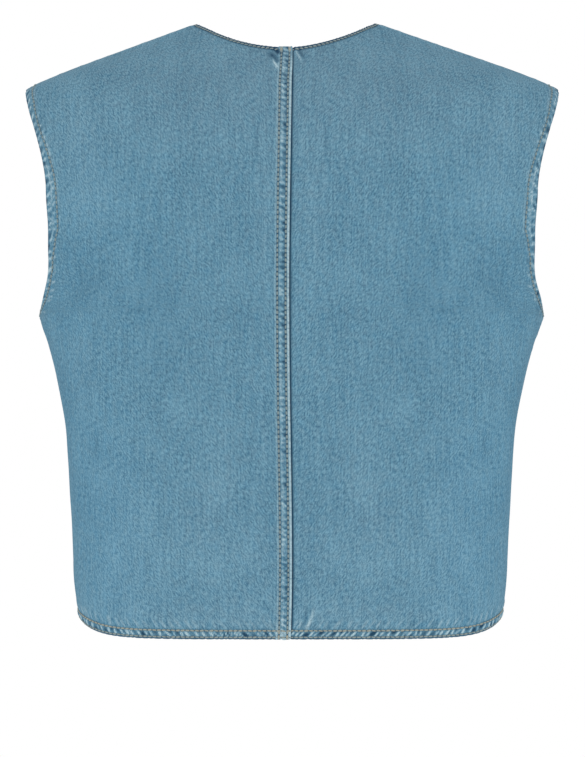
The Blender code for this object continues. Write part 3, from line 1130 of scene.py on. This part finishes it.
@dataclass
class Panel:
    """One cut panel of the gilet: a fine shell of denim on the worn form, sewn along its edges."""

    name: str
    half: Half
    facing: Facing
    form: WornForm
    hang: Hang
    creases: tuple[Crease, ...]
    neck_half_width: float
    neck_roundness: float
    neck_bottom: float
    armhole: float
    centre_gap: float
    seed: int
    band: CentreBand | None = None
    front_edge: EdgeFinish | None = None
    sway: Drift = ()
    sway_reach: float = 70.0
    seam_gap: float = 0.2
    cloth: float = 1.2
    rim: float = 1.0
    turning: float = 10.0
    turning_fade: float = 1.5
    border_reach: float = 55.0
    edge_reach: float = 40.0
    seam_reach: float = 9.0
    slack_reach: float = 30.0
    seed_shift: float = 10.0
    centre_strip: float = 18.0
    edge_strip: float = 12.0
    hem_strip: float = 22.0
    top_strip: float = 12.0
    centre_columns: int = 15
    neck_columns: int = 56
    neck_crowding: float = 0.5
    outer_columns: int = 128
    edge_columns: int = 12
    hem_rows: int = 20
    main_rows: int = 290
    top_rows: int = 10
    underarm_rows: int = 12
    underarm_crowding: float = 2.5
    underarm_levels: tuple[float, float] = (-0.02, 1.1)
    underarm_half_level: float = 0.25
    scan_levels: int = 1801
    line_step: float = 0.25
    coarse_step: int = 40
    rim_turns: tuple[float, ...] = (45.0, 90.0, 135.0)

    @property
    def neck_column(self) -> int:
        """Number of the column that ends at the neck point."""
        return self.centre_columns + self.neck_columns - 1

    @property
    def signs(self) -> np.ndarray:
        """Signs that take the panel's own x, depth and z into the frame."""
        return np.array([self.half.value, self.facing.value, 1.0])

    def stations(self, lengths: np.ndarray) -> np.ndarray:
        """Distances of the mesh columns from the centre plane along sections.

        Args:
            lengths: Lengths of the sections.

        Returns:
            Distances, sections by columns.
        """
        length = lengths[:, None]
        neck = length * self.neck_half_width / self.form.rings[-1].half_width
        first = self.centre_gap / 2 + self.rim
        centre = np.linspace(first, self.centre_strip, self.centre_columns)[None, :] + 0.0 * length
        share = np.linspace(0.0, 1.0, self.neck_columns + 1)[1:]
        crowded = (1.0 - self.neck_crowding) * share + self.neck_crowding * np.sin(share * math.pi / 2)
        inner = self.centre_strip + (neck - self.centre_strip) * crowded
        outer_end = length - self.edge_strip
        outer = neck + (outer_end - neck) * np.linspace(0.0, 1.0, self.outer_columns + 1)[1:]
        edge = outer_end + (self.edge_strip - self.rim) * np.linspace(0.0, 1.0, self.edge_columns + 1)[1:]
        return np.hstack([centre, inner, outer, edge])

    def lattice(self, levels: np.ndarray) -> np.ndarray:
        """Points of the panel at levels, one per column.

        Args:
            levels: Levels of the rows.

        Returns:
            x, depth, z and distance from the centre, rows by columns.
        """
        points, arc = self.form.sections(levels, self.facing, self.armhole)
        places = self.stations(arc[:, -1])
        grid = np.empty((*places.shape, 4))
        for row, place in enumerate(places):
            for axis in range(3):
                grid[row, :, axis] = np.interp(np.abs(place), arc[row], points[row, :, axis])
        grid[:, :, 0] *= np.where(places < 0.0, -1.0, 1.0)
        grid[:, :, 3] = places
        return grid

    def row_levels(self, scan: np.ndarray, run: np.ndarray) -> np.ndarray:
        """Levels of the mesh rows, crowded at the hem, the underarm and the shoulder.

        Args:
            scan: Closely spaced levels.
            run: Length up the neck point's column to each of them.

        Returns:
            Levels of the rows, an odd number.
        """
        top = run[-1] - self.rim
        places = np.concatenate([
            np.linspace(self.rim, self.hem_strip, self.hem_rows),
            np.linspace(self.hem_strip, top - self.top_strip, self.main_rows + 1)[1:],
            np.linspace(top - self.top_strip, top, self.top_rows + 1)[1:],
        ])
        levels = np.interp(places, run, scan)
        low = self.form.names.index("underarm")
        below, above = self.underarm_levels
        rise = np.linspace(0.0, 1.0, self.underarm_rows) ** self.underarm_crowding
        clear = (levels < low + below) | (levels > low + above)
        levels = np.sort(np.concatenate([levels[clear], low + rise]))
        return levels if len(levels) % 2 else np.delete(levels, self.hem_rows)

    def neck_height(self, x: np.ndarray) -> np.ndarray:
        """Height of the neckline.

        Args:
            x: Distances from the centre plane.

        Returns:
            The height at each of them.
        """
        ridge = self.form.rings[-1]
        top = ridge.centre_z + (ridge.side_z - ridge.centre_z) * self.neck_half_width / ridge.half_width
        share = np.clip(x / self.neck_half_width, 0.0, 1.0) ** self.neck_roundness
        return self.neck_bottom + (top - self.neck_bottom) * share

    def lay(self) -> None:
        """Lay the mesh points on the worn form. Columns inside the neck end on the neckline."""
        scan = np.linspace(0.0, self.form.top, self.scan_levels)
        fine = self.lattice(scan)
        steps = np.linalg.norm(np.diff(fine[:, :, :3], axis=0), axis=2)
        runs = np.vstack([np.zeros(fine.shape[1]), np.cumsum(steps, axis=0)])
        neck = self.neck_column
        self.levels = self.row_levels(scan, runs[:, neck])
        grid = self.lattice(self.levels)
        chest = self.form.names.index("scye_hollow")
        upper = self.levels > chest
        reached = np.interp(self.levels[upper], scan, runs[:, neck])
        begin = np.interp(chest, scan, runs[:, neck])
        shares = (reached - begin) / (reached[-1] - begin)
        above_chest = scan >= chest
        for column in range(neck):
            above = fine[:, column, 2] - self.neck_height(fine[:, column, 0])
            start = np.interp(chest, scan, runs[:, column])
            end = np.interp(0.0, above[above_chest], runs[above_chest, column]) - self.rim
            levels = np.interp(start + shares * (end - start), runs[:, column], scan)
            for axis in range(4):
                grid[upper, column, axis] = np.interp(levels, scan, fine[:, column, axis])
        self.base = grid[:, :, :3]
        self.across = grid[:, :, 3]
        self.settle()
        rises = np.linalg.norm(np.diff(self.base, axis=0), axis=2)
        self.up = self.rim + np.vstack([np.zeros(grid.shape[1]), np.cumsum(rises, axis=0)])
        self.underarm_row = int(np.argmin(np.abs(self.levels - self.form.names.index("underarm"))))

    def settle(self) -> None:
        """Let the form hang a little unevenly: it leans, its shoulders drop and its back seam sways."""
        hang = self.hang
        x, z = self.base[:, :, 0].copy(), self.base[:, :, 2].copy()
        leaning = hang.lean * hang.lean_z.share(z)
        aside = leaning
        if self.sway:
            heights, asides = np.array(self.sway).T
            swaying = np.polyval(np.polyfit(heights, asides, len(heights) - 1), z)
            aside = leaning + (swaying - leaning) * ease(1.0 - self.across / self.sway_reach)
        high = hang.shoulder_z.share(z)
        underarm = mound(z, hang.underarm_z, hang.underarm_half_height)
        drops = (
            hang.neck_drop * hang.neck_outer_x.share(x) * hang.neck_inner_x.share(x) * high,
            hang.neck_rounding * mound(x, self.neck_half_width, hang.neck_point_half_width) * high,
            hang.tip_drop * hang.tip_x.share(x) * high,
            hang.tip_rounding * hang.corner_x.share(x) * hang.corner_z.share(z),
            hang.underarm_drop * hang.underarm_x.share(x) * underarm,
        )
        for drop in drops:
            self.base[:, :, 2] -= drop
        swell = mound(z, hang.swell_z, hang.swell_half_height)
        self.base[:, :, 0] += self.half.value * aside
        self.base[:, :, 0] -= hang.tip_rounding / 2 * hang.end_x.share(x) * hang.end_z.share(z)
        self.base[:, :, 0] += hang.underarm_swell * hang.swell_x.share(x) * swell

    @staticmethod
    def normals(points: np.ndarray) -> np.ndarray:
        """Outward normals of a grid of points.

        Args:
            points: Points, rows by columns.

        Returns:
            Unit normals, rows by columns.
        """
        normal = np.cross(np.gradient(points, axis=0), np.gradient(points, axis=1))
        return normal / np.linalg.norm(normal, axis=2, keepdims=True)

    def border_line(self, border: Border) -> np.ndarray:
        """Points of the mesh along a border.

        Args:
            border: The border.

        Returns:
            Its points in order.
        """
        lines = {
            Border.HEM: self.base[0],
            Border.CENTRE: self.base[:, 0],
            Border.SIDE: self.base[:self.underarm_row + 1, -1],
            Border.ARMHOLE: self.base[self.underarm_row:, -1],
            Border.NECK: self.base[-1, :self.neck_column + 1],
            Border.SHOULDER: self.base[-1, self.neck_column:],
        }
        return lines[border]

    def measure(self, border: Border) -> tuple[np.ndarray, np.ndarray]:
        """Distance of the mesh points from a border, and the run along it to the nearest place.

        Args:
            border: The border.

        Returns:
            Distances and runs, rows by columns.
        """
        line = self.border_line(border)
        runs = line_runs(line)
        fine_runs = np.linspace(0.0, runs[-1], int(runs[-1] / self.line_step) + 2)
        fine = np.column_stack([np.interp(fine_runs, runs, line[:, axis]) for axis in range(3)])
        tree = KDTree(len(fine))
        for index, point in enumerate(fine):
            tree.insert(point, index)
        tree.balance()
        distance = np.full(self.base.shape[:2], FAR)
        run = np.zeros(self.base.shape[:2])
        coarse = fine[::self.coarse_step]
        for row, points in enumerate(self.base):
            nearest = np.linalg.norm(points[:, None, :] - coarse[None, :, :], axis=2).min(axis=1)
            for column in np.flatnonzero(nearest < self.border_reach):
                _place, index, gap = tree.find(points[column])
                distance[row, column] = gap + self.rim
                run[row, column] = fine_runs[index]
        return distance, run

    def edge_relief(self, edge: EdgeFinish, border: Border, chance: np.random.Generator) -> None:
        """Roll and pucker the cloth along a turned edge, with its wear and its painted light and shade.

        Args:
            edge: How the edge is sewn.
            border: The border that it runs along.
            chance: Seeded source of the unevenness.
        """
        distance, run = self.measured[border]
        near = distance < self.edge_reach
        gap, along = distance[near], run[near]
        sewn_place = gap - drift_at(edge.drift, self.base[:, :, 2][near])
        roll = np.sin(math.pi / 2 * np.clip(gap / (0.5 * edge.roll_width), 0.0, 1.0))
        move = edge.roll * roll * ease((edge.roll_width + edge.roll_fade / 2 - gap) / edge.roll_fade)
        # The edge darkens: unworn doubled cloth, with painted shade for the shadow of its roll
        wash = -edge.edge_dark * mound(gap, 0.0, edge.edge_dark_width)
        for ridge, half_width, pale in edge.ridges:
            knots = np.arange(0.0, along.max() + edge.ridge_gap, edge.ridge_gap)
            patches = np.interp(along, knots, chance.uniform(0.0, edge.ridge_most, len(knots)))
            wash += pale * patches * mound(sewn_place, ridge, half_width)
        # Puckers pale on their ridges and dark in their hollows: worn and unworn cloth, with painted light
        # and painted shade
        for puckers in edge.puckers:
            drawn, worn = puckers.relief(along, gap, chance)
            move += drawn
            wash += worn
        # Each row dips, and painted shade darkens it
        for row in edge.stitch_rows:
            sewn = mound(sewn_place, row, edge.row_half_width)
            move -= edge.row_dip * sewn
            wash = wash * (1.0 - sewn) - edge.row_painted_shade * sewn
        if edge.stitch_rows:
            seams = [self.measured[seam][0][near] for seam in (Border.SIDE, Border.SHOULDER)]
            move *= ease(np.min(seams, axis=0) / self.seam_reach)
        if self.band:
            beside = ease((self.across[near] - self.band.width) / self.band.step)
            move *= beside
            wash *= beside
        self.move[near] += move
        self.wash[near] += wash

    def edges(self) -> dict[Border, EdgeFinish]:
        """Edges of the panel.

        Returns:
            How each edge is finished.
        """
        turned = {
            Border.HEM: HEM, Border.ARMHOLE: ARMHOLE, Border.NECK: NECK, Border.SIDE: PLAIN_SEAM,
            Border.SHOULDER: PLAIN_SEAM,
        }
        if self.front_edge:
            turned[Border.CENTRE] = self.front_edge
        return turned

    def crumple(self) -> None:
        """Give the cloth its creases, slack, seams and puckered edges."""
        self.lay()
        chance = np.random.default_rng(self.seed)
        x, z = self.base[:, :, 0], self.base[:, :, 2]
        self.move = np.zeros_like(x)
        self.wash = np.zeros_like(x)
        self.tone = np.zeros_like(x)
        # Creases move the cloth; pale and tone paint light and shade, wear, and greyer or bluer places
        for crease in self.creases:
            share = crease.shape(x, z)
            self.move += crease.height * share
            self.wash += crease.pale * share
            self.tone += crease.tone * share
        self.measured = {border: self.measure(border) for border in Border}
        held = np.min([self.measured[border][0] for border in Border if border is not Border.CENTRE], axis=0)
        drift = self.seed_shift * self.seed
        slack = [
            sum(
                part.height * noise.noise((s / part.across, t / part.up, drift + part.shift))
                for part in SLACKS
            )
            for s, t in zip(self.across.ravel(), self.up.ravel())
        ]
        self.move += np.array(slack).reshape(x.shape) * ease(held / self.slack_reach)
        for border, edge in self.edges().items():
            self.edge_relief(edge, border, chance)
        distance, run = self.measured[Border.CENTRE]
        if self.facing is Facing.BACK:
            near = distance < self.edge_reach
            if self.band:
                move, wash = self.band.over(run[near], distance[near], z[near], chance)
            else:
                move, wash = CentreBand().under(distance[near] + self.centre_gap / 2)
            self.move[near] += move
            self.wash[near] += wash
        self.wash = np.clip(self.wash, -WASH_AND_SHADING_LIMIT, WASH_AND_SHADING_LIMIT)
        normal = self.normals(self.base)
        # Rows crowd at the underarm, where only level moves keep them from folding over each other
        underarm = mound(self.levels, self.form.names.index("underarm"), self.underarm_half_level)
        normal[:, :, 2] *= 1.0 - underarm[:, None]
        self.outer = self.base + self.move[:, :, None] * normal
        self.upright = self.normals(self.outer)
        self.nearest = np.min([self.measured[border][0] for border in Border], axis=0)

    def place(self, points: np.ndarray) -> np.ndarray:
        """Points of the panel in the frame, in metres."""
        shift = np.array([0.0, self.seam_gap / 2, 0.0])
        return (points + shift) * self.signs * MM

    @staticmethod
    def loop(grid: np.ndarray) -> np.ndarray:
        """Entries of a grid round its border, once round."""
        return np.concatenate([grid[0, :-1], grid[:-1, -1], grid[-1, :0:-1], grid[:0:-1, 0]])

    def rim_rings(self) -> list[np.ndarray]:
        """Rings of points that turn the cloth's edge round from the outer face to the inner face.

        Returns:
            The rings, from the outer face on.
        """
        outward = np.zeros_like(self.outer)
        outward[0] += self.outer[0] - self.outer[1]
        outward[-1] += self.outer[-1] - self.outer[-2]
        side = self.outer[:, -1] - self.outer[:, -2]
        centre = self.outer[:, 0] - self.outer[:, 1]
        for edge in (outward[0], outward[-1], side, centre):
            edge /= np.linalg.norm(edge, axis=1, keepdims=True)
        outward[:, -1] += side
        outward[:, 0] += centre
        lip = self.loop(self.outer)
        away = self.loop(outward)
        normal = self.loop(self.upright)
        away -= np.sum(away * normal, axis=1, keepdims=True) * normal
        away /= np.linalg.norm(away, axis=1, keepdims=True)
        turns = np.radians(self.rim_turns)
        return [lip + self.rim * (math.sin(turn) * away + (math.cos(turn) - 1.0) * normal) for turn in turns]

    def faces(self) -> list[list[int]]:
        """Faces of the outer face, the inner face and the rim between them.

        Returns:
            Vertex numbers of each face. The outer points come first, then the rim, then the inner points.
        """
        rows, columns = self.move.shape
        outer = np.arange(rows * columns).reshape(rows, columns)
        rings = [self.loop(outer)]
        count = len(rings[0])
        first = rows * columns
        for _turn in self.rim_turns:
            rings.append(first + np.arange(count))
            first += count
        kept = outer[::2, ::2]
        inner = first + np.arange(kept.size).reshape(kept.shape)
        quads = [self.quads(outer), self.quads(inner)[:, ::-1]]
        for ring, following in zip(rings[:-1], rings[1:]):
            quads.append(np.column_stack([np.roll(ring, -1), ring, following, np.roll(following, -1)]))
        last, inside = rings[-1], self.loop(inner)
        here, between, ahead = last[::2], last[1::2], np.roll(last[::2], -1)
        after = np.roll(inside, -1)
        triangles = np.vstack([
            np.column_stack([between, here, inside]),
            np.column_stack([between, inside, after]),
            np.column_stack([ahead, between, after]),
        ])
        quads = np.vstack(quads)
        if self.half.value * self.facing.value > 0:
            quads, triangles = quads[:, ::-1], triangles[:, ::-1]
        return quads.tolist() + triangles.tolist()

    def shell(self, denim: Material) -> Object:
        """Build the panel's mesh: the outer face, a rounded rim and a coarser inner face.

        Args:
            denim: The cloth's material.

        Returns:
            The panel as one closed object.
        """
        rings = self.rim_rings()
        doubled = ease((self.turning - self.nearest) / self.turning_fade)
        wall = self.cloth + (2 * self.rim - self.cloth) * doubled
        inner = (self.outer - wall[:, :, None] * self.upright)[::2, ::2].reshape(-1, 3)
        points = np.vstack([self.outer.reshape(-1, 3), *rings, inner])

        def spread(values: np.ndarray) -> np.ndarray:
            """Values of the mesh points for the outer face, the rim and the inner face."""
            border = self.loop(values)
            return np.concatenate([values.ravel(), *[border] * len(rings), values[::2, ::2].ravel()])

        inside = np.zeros(len(points))
        inside[-len(inner):] = 1.0 - doubled[::2, ::2].ravel()
        mesh = bpy.data.meshes.new(self.name + "_shell")
        mesh.from_pydata(self.place(points).tolist(), [], self.faces())
        for label, values in (("wash", spread(self.wash)), ("tone", spread(self.tone)), ("inside", inside)):
            mesh.attributes.new(label, "FLOAT", "POINT").data.foreach_set("value", values)
        corners = np.empty(len(mesh.loops), dtype=int)
        mesh.loops.foreach_get("vertex_index", corners)
        cloth = np.column_stack([spread(self.across), spread(self.up)])[corners] * MM
        mesh.uv_layers.new(name="cloth").data.foreach_set("uv", cloth.ravel())
        mesh.materials.append(denim)
        mesh.shade_smooth()
        return add_object(self.name + "_shell", mesh)

    @staticmethod
    def quads(index: np.ndarray) -> np.ndarray:
        """Four-sided faces of a grid of vertex numbers."""
        corners = [index[:-1, :-1], index[:-1, 1:], index[1:, 1:], index[1:, :-1]]
        return np.stack(corners, axis=-1).reshape(-1, 4)

    def stitch_line(
        self, border: Border, distance: float, drift: Drift
    ) -> tuple[np.ndarray, np.ndarray, np.ndarray]:
        """Line on the cloth at a distance from a border.

        Args:
            border: The border that the stitches follow.
            distance: Their distance from it.
            drift: Heights at which they wander, each with how far.

        Returns:
            Points and normals in the frame, and the distance of each point from the centre.
        """
        _label, up_the_cloth, at_end = border.value

        def lines(values: np.ndarray) -> np.ndarray:
            """Mesh values as lines that start at the border."""
            turned = np.swapaxes(values, 0, 1) if up_the_cloth else values
            return turned[:, ::-1] if at_end else turned

        gaps = lines(self.measured[border][0])
        wanted = distance + drift_at(drift, lines(self.base[:, :, 2])[:, 0])
        stop = np.argmax(gaps > wanted[:, None], axis=1)
        found = np.flatnonzero(stop > 0)
        stop = stop[found]
        before, after = gaps[found, stop - 1], gaps[found, stop]
        share = (wanted[found] - before) / (after - before)

        def at_line(values: np.ndarray) -> np.ndarray:
            """Mesh values on the stitch line.

            Args:
                values: Values of the mesh points, rows by columns.

            Returns:
                Values along the line.
            """
            there = lines(values)
            low, high = there[found, stop - 1], there[found, stop]
            part = share.reshape(-1, *[1] * (low.ndim - 1))
            return low + part * (high - low)

        points = self.place(at_line(self.outer))
        upright = at_line(self.upright) * self.signs
        return points, upright, at_line(self.across)

    def stitches(self) -> list[Topstitch]:
        """Rows of stitches on the panel.

        Returns:
            The topstitching, the hem's and the neck's stitching, and the bar tacks of the band.
        """
        plain = Topstitch("topstitch_" + self.name, seed=self.seed)
        hemmed = Topstitch("hemstitch_" + self.name, reach=3.6, thickness=1.5, dive=0.95, seed=self.seed + 1)
        corded = Topstitch(
            "neckstitch_" + self.name, pitch=3.8, reach=3.1, thickness=1.45, turn=0.35 * self.half.value,
            seed=self.seed + 2,
        )
        barred = Topstitch("bartack_" + self.name, pitch=1.0, reach=2.0, thickness=1.3, seed=self.seed + 3)
        kinds = {Border.NECK: corded, Border.HEM: hemmed}
        for border, edge in self.edges().items():
            for distance, fresh in zip(edge.stitch_rows, edge.fresh):
                points, upright, across = self.stitch_line(border, distance, edge.drift)
                if border is Border.NECK and self.band:
                    clear = across > self.band.width
                    points, upright = points[clear], upright[clear]
                kinds.get(border, plain).sew(points, upright, np.full(len(points), fresh))
        if self.band:
            for distance in self.band.stitch_rows:
                points, upright, _across = self.stitch_line(Border.CENTRE, distance, self.band.drift)
                runs = line_runs(points) / MM
                plain.sew(points, upright, ease(1.0 - runs / self.band.fresh_reach))
                top = runs > runs[-1] - self.band.bar_length
                for aside in (-self.band.bar_gap, self.band.bar_gap):
                    places = points[top] + np.array([aside * MM, 0.0, 0.0])
                    barred.sew(places, upright[top], np.full(top.sum(), self.band.bar_fresh))
        return [rows for rows in (plain, hemmed, corded, barred) if rows.rows]

    def cut(self) -> tuple[float, float, float]:
        """Flat size of the panel.

        Returns:
            Width, length and area of the cut that shows, in metres and square metres.
        """
        steps_up = np.diff(self.base, axis=0)[:, :-1]
        steps_across = np.diff(self.base, axis=1)[:-1]
        area = np.linalg.norm(np.cross(steps_up, steps_across), axis=2).sum()
        return float(self.across.max() * MM), float(self.up.max() * MM), float(area * MM * MM)

    def build(self, denim: Material, thread: Material) -> None:
        """Make the panel and its stitching, and tell the frame about them.

        Args:
            denim: The cloth's material.
            thread: The thread's material.
        """
        self.crumple()
        shell = self.shell(denim)
        sewn = [rows.build(thread) for rows in self.stitches()]
        for piece in [shell, *sewn]:
            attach(piece, BODY)
            LOG.info("%s: %d faces", piece.name, len(piece.data.polygons))
        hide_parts(self.name)


# The studio


@dataclass(frozen=True)
class Lamp:
    """A square soft light: its place from the middle of the gilet and its size in metres, and its watts."""

    name: str
    place: tuple[float, float, float]
    size: float
    power: float


LAMPS = (
    Lamp("key", (0.0, 2.3, 0.3), 1.8, 13.2),
    Lamp("fill", (0.0, -2.3, 0.5), 1.8, 13.2),
    Lamp("left", (2.3, 0.6, -0.2), 1.4, 5.4),
    Lamp("right", (-2.3, 0.6, -0.2), 1.4, 5.4),
    Lamp("top", (0.0, 0.0, 1.9), 1.8, 4.0),
)


@dataclass(frozen=True)
class Studio:
    """Plain white studio: a pale floor, soft even light and a camera behind the gilet. Sizes are metres, and
    the lens and its sensor millimetres.
    """

    camera_distance: float = 2.1
    camera_height: float = -0.318
    camera_aside: float = -0.0018
    lens: float = 111.8
    sensor: float = 36.0
    floor_drop: float = 0.9
    floor_radius: float = 4.2
    floor_sides: int = 96
    sky: str = "#FFFFFF"
    sky_seen: float = 1.0
    sky_light: float = 0.67

    def place_camera(self) -> None:
        """Set the camera level behind the gilet, at the photograph's angle."""
        data = bpy.data.cameras.new("back_view")
        data.lens = self.lens
        data.sensor_width = self.sensor
        camera = add_object("back_view", data)
        camera.location = (self.camera_aside, self.camera_distance, self.camera_height)
        camera.rotation_euler = (math.pi / 2, 0.0, math.pi)
        bpy.context.scene.camera = camera

    def lay_floor(self) -> None:
        """Lay a round pale floor well below the hem."""
        angles = np.linspace(0.0, 2 * math.pi, self.floor_sides, endpoint=False)
        level = CAD_BOX[0].z - self.floor_drop
        rim = [(self.floor_radius * math.cos(a), self.floor_radius * math.sin(a), level) for a in angles]
        mesh = bpy.data.meshes.new("studio_floor")
        mesh.from_pydata(rim, [], [tuple(range(self.floor_sides))])
        mesh.materials.append(FloorFinish().make())
        floor = add_object("studio_floor", mesh)

    def light(self) -> None:
        """Light the gilet evenly from all round, most from behind and in front."""
        middle = (CAD_BOX[0] + CAD_BOX[1]) / 2
        for lamp in LAMPS:
            data = bpy.data.lights.new(lamp.name, "AREA")
            data.size = lamp.size
            data.energy = lamp.power
            light = add_object(lamp.name, data)
            light.location = middle + Vector(lamp.place)
            light.rotation_euler = (-Vector(lamp.place)).to_track_quat("-Z", "Y").to_euler()
        world = bpy.data.worlds.new("white_room")
        world.use_nodes = True
        tree = world.node_tree
        tree.nodes.clear()
        white = linear(self.sky)
        seen = add_node(tree, "ShaderNodeBackground", {"Strength": self.sky_seen, "Color": white}).outputs[0]
        lit = add_node(tree, "ShaderNodeBackground", {"Strength": self.sky_light, "Color": white}).outputs[0]
        ray = add_node(tree, "ShaderNodeLightPath").outputs["Is Camera Ray"]
        both = add_node(tree, "ShaderNodeMixShader", {0: ray, 1: lit, 2: seen}).outputs[0]
        add_node(tree, "ShaderNodeOutputWorld", {0: both})
        bpy.context.scene.world = world
        bpy.context.scene.view_settings.view_transform = "Standard"

    def build(self) -> None:
        """Set up the camera, the floor and the light."""
        self.place_camera()
        self.lay_floor()
        self.light()


# Heights down the centre-back seam, each with its distance from the centre to the wearer's left
SEAM_SWAY = ((-64.0, -1.2), (-145.0, 0.0), (-251.0, 0.85), (-379.0, -0.5), (-498.0, -1.4))


def panels() -> list[Panel]:
    """The four panels of the gilet.

    Returns:
        Two backs and two fronts. The neck hole lies a little to the wearer's left, and the right back
        reaches past the centre, under the band.
    """
    form = WornForm()
    necks = {Half.LEFT: 85.0, Half.RIGHT: 74.3}
    back_roundness = {Half.LEFT: 2.3, Half.RIGHT: 1.6}
    back_gaps = {Half.LEFT: 0.2, Half.RIGHT: -4.4}
    bands = {Half.LEFT: CentreBand(), Half.RIGHT: None}
    tucks = {Half.LEFT: LEFT_TUCKS, Half.RIGHT: RIGHT_TUCKS}
    hangs = {
        Half.LEFT: Hang(neck_drop=0.0, underarm_drop=1.5, underarm_swell=0.0),
        Half.RIGHT: Hang(neck_drop=3.4, underarm_drop=2.4, underarm_swell=1.1),
    }
    backs = [
        Panel(
            name="back_" + half.name.lower(), half=half, facing=Facing.BACK, form=form, hang=hangs[half],
            creases=BACK_CREASES + FADES + tucks[half], neck_half_width=necks[half],
            neck_roundness=back_roundness[half], neck_bottom=-30.5, armhole=55.7, centre_gap=back_gaps[half],
            seed=11 + number, band=bands[half], sway=SEAM_SWAY, centre_columns=25,
        )
        for number, half in enumerate(Half)
    ]
    fronts = [
        Panel(
            name="front_" + half.name.lower(), half=half, facing=Facing.FRONT, form=form, hang=hangs[half],
            creases=FRONT_CREASES + FADES, neck_half_width=necks[half], neck_roundness=2.2, neck_bottom=-90.0,
            armhole=60.3, centre_gap=-0.36, seed=21 + number, front_edge=FRONT_EDGE,
        )
        for number, half in enumerate(Half)
    ]
    return backs + fronts


def main() -> None:
    """Build the studio and the gilet, panel by panel."""
    logging.basicConfig(level=logging.INFO, format="%(message)s")
    Studio().build()
    denim = DenimFinish().make()
    thread = ThreadFinish().make()
    for panel in panels():
        panel.build(denim, thread)


if __name__ == "__main__":
    main()
